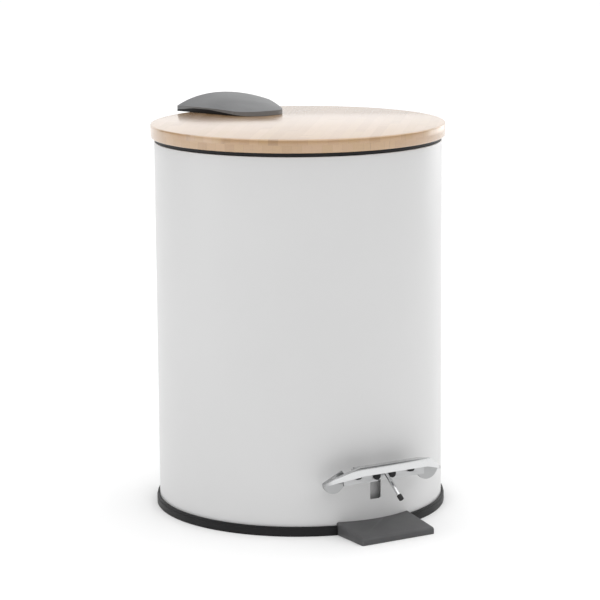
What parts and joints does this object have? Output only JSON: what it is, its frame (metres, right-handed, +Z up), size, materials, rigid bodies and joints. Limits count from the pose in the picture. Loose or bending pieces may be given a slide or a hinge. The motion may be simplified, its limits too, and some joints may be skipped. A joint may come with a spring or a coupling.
{
  "type": "pedal bin",
  "caption": "Round pedal bin with a white steel drum, hinged bamboo lid, inner bucket and chromed pedal; pressing the pedal lifts a rod that opens the lid.",
  "frame": {"origin": "middle of the flat underside of the base, on the drum's axis, at floor level", "axes": "+Z up along the drum's axis, -Y out of the front towards the person at the pedal, +X to the right seen from the front"},
  "size_m": [0.205, 0.2463, 0.2824],
  "materials": {
    "white_coat": "satin powder coat",
    "black_plastic": "fine moulded texture",
    "foot_plastic": "fine moulded texture",
    "cover_plastic": "satin moulded",
    "bucket_plastic": "fine moulded texture",
    "bush_plastic": "smooth",
    "bamboo": "satin lacquer",
    "chrome": "polished",
    "steel": "zinc plated",
    "black_steel": "black oxide",
    "rubber": "matte"
  },
  "bodies": {
    "housing": {"body_shell": "white_coat", "base_tray": "black_plastic", "anti_slip_pads": "rubber", "stabiliser_foot": "foot_plastic", "foot_screws": "steel", "rim_collar": "black_plastic", "inner_bucket": "bucket_plastic", "bucket_bail": "steel", "bail_grip": "black_plastic", "hinge_bracket": "black_plastic", "bracket_rivets": "steel", "hinge_pin": "steel", "rod_guide": "black_plastic", "guide_rivets": "steel", "pivot_stand": "steel", "stand_screws": "steel", "pivot_pin": "steel"},
    "lid": {"lid_panel": "bamboo", "lid_liner": "black_plastic", "liner_screws": "steel", "lid_buffers": "rubber", "hinge_arm": "black_plastic", "hinge_arm_screws": "steel", "hinge_cover": "cover_plastic", "crank_clevis": "black_plastic", "clevis_screws": "steel", "crank_pin": "steel"},
    "pedal": {"pedal_lever": "white_coat", "pivot_bushes": "bush_plastic", "pedal_bracket": "chrome", "bracket_pins": "black_steel", "pedal_tread": "chrome", "tread_rivets": "chrome", "stop_peg": "chrome", "peg_tip": "rubber", "bracket_plugs": "rubber"},
    "lift_rod": {"lift_rod": "steel", "rod_collar": "steel"}
  },
  "joints": [
    {"name": "lid_open", "type": "hinge", "parent": "housing", "child": "lid", "pos_m": [0, 0.10413, 0.262], "axis": [-1, 0, 0], "range_deg": [0, 75]},
    {"name": "pedal_press", "type": "hinge", "parent": "housing", "child": "pedal", "pos_m": [0, 0, 0.012], "axis": [1, 0, 0], "range_deg": [0, 9]},
    {"name": "rod_swing", "type": "hinge", "parent": "lid", "child": "lift_rod", "pos_m": [0, 0.0945, 0.25461], "axis": [-1, 0, 0], "range_deg": [-75, 0]}
  ],
  "couplings": [
    {"joint": "pedal_press", "follows": "lid_open", "ratio": 0.12},
    {"joint": "rod_swing", "follows": "lid_open", "ratio": -1}
  ]
}
